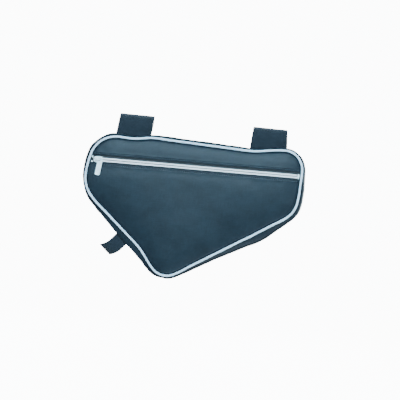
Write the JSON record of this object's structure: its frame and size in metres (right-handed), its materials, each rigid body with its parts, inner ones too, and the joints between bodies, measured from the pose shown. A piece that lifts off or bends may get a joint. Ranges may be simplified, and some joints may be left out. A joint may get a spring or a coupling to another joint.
{
  "type": "bicycle frame bag",
  "caption": "Soft wedge-shaped bag that hangs in a bicycle frame from hook-and-loop straps, with a zip along its top and light piping round both faces.",
  "frame": {"origin": "on the axis of the top tube that the two wide straps close round, midway between them", "axes": "+X along the top tube towards the rear wheel, +Z square to it and up, so that the zip faces -Y"},
  "size_m": [0.3195, 0.0643, 0.2309],
  "materials": {
    "body_cloth": "coated woven polyester, soft satin",
    "strap_tape": "woven hook-and-loop tape, matte",
    "piping_cloth": "diagonally woven reflective tape over a cord",
    "zip_tape": "herringbone polyester tape, matte",
    "zip_coil": "nylon coil, slightly glossy",
    "zip_metal": "nickel-plated zinc, bright"
  },
  "bodies": {
    "bag": {"gusset": "body_cloth", "back_panel": "body_cloth", "front_panel_upper": "body_cloth", "front_panel_lower": "body_cloth", "piping_front": "piping_cloth", "piping_back": "piping_cloth", "zip_tape": "zip_tape", "zip_coil_upper": "zip_coil", "zip_coil_lower": "zip_coil", "zip_top_stop_upper": "zip_metal", "zip_top_stop_lower": "zip_metal", "zip_bottom_stop": "zip_metal", "zip_slider": "zip_metal", "strap_top_front": "strap_tape", "strap_top_rear": "strap_tape", "strap_down_tube": "strap_tape"},
    "pull": {"zip_pull": "zip_metal"}
  },
  "joints": [
    {"name": "pull_swing", "type": "hinge", "parent": "bag", "child": "pull", "pos_m": [-0.14229, -0.03073, -0.05338], "axis": [0.1777, 0.9841, 0], "range_deg": [-96, 34]}
  ]
}
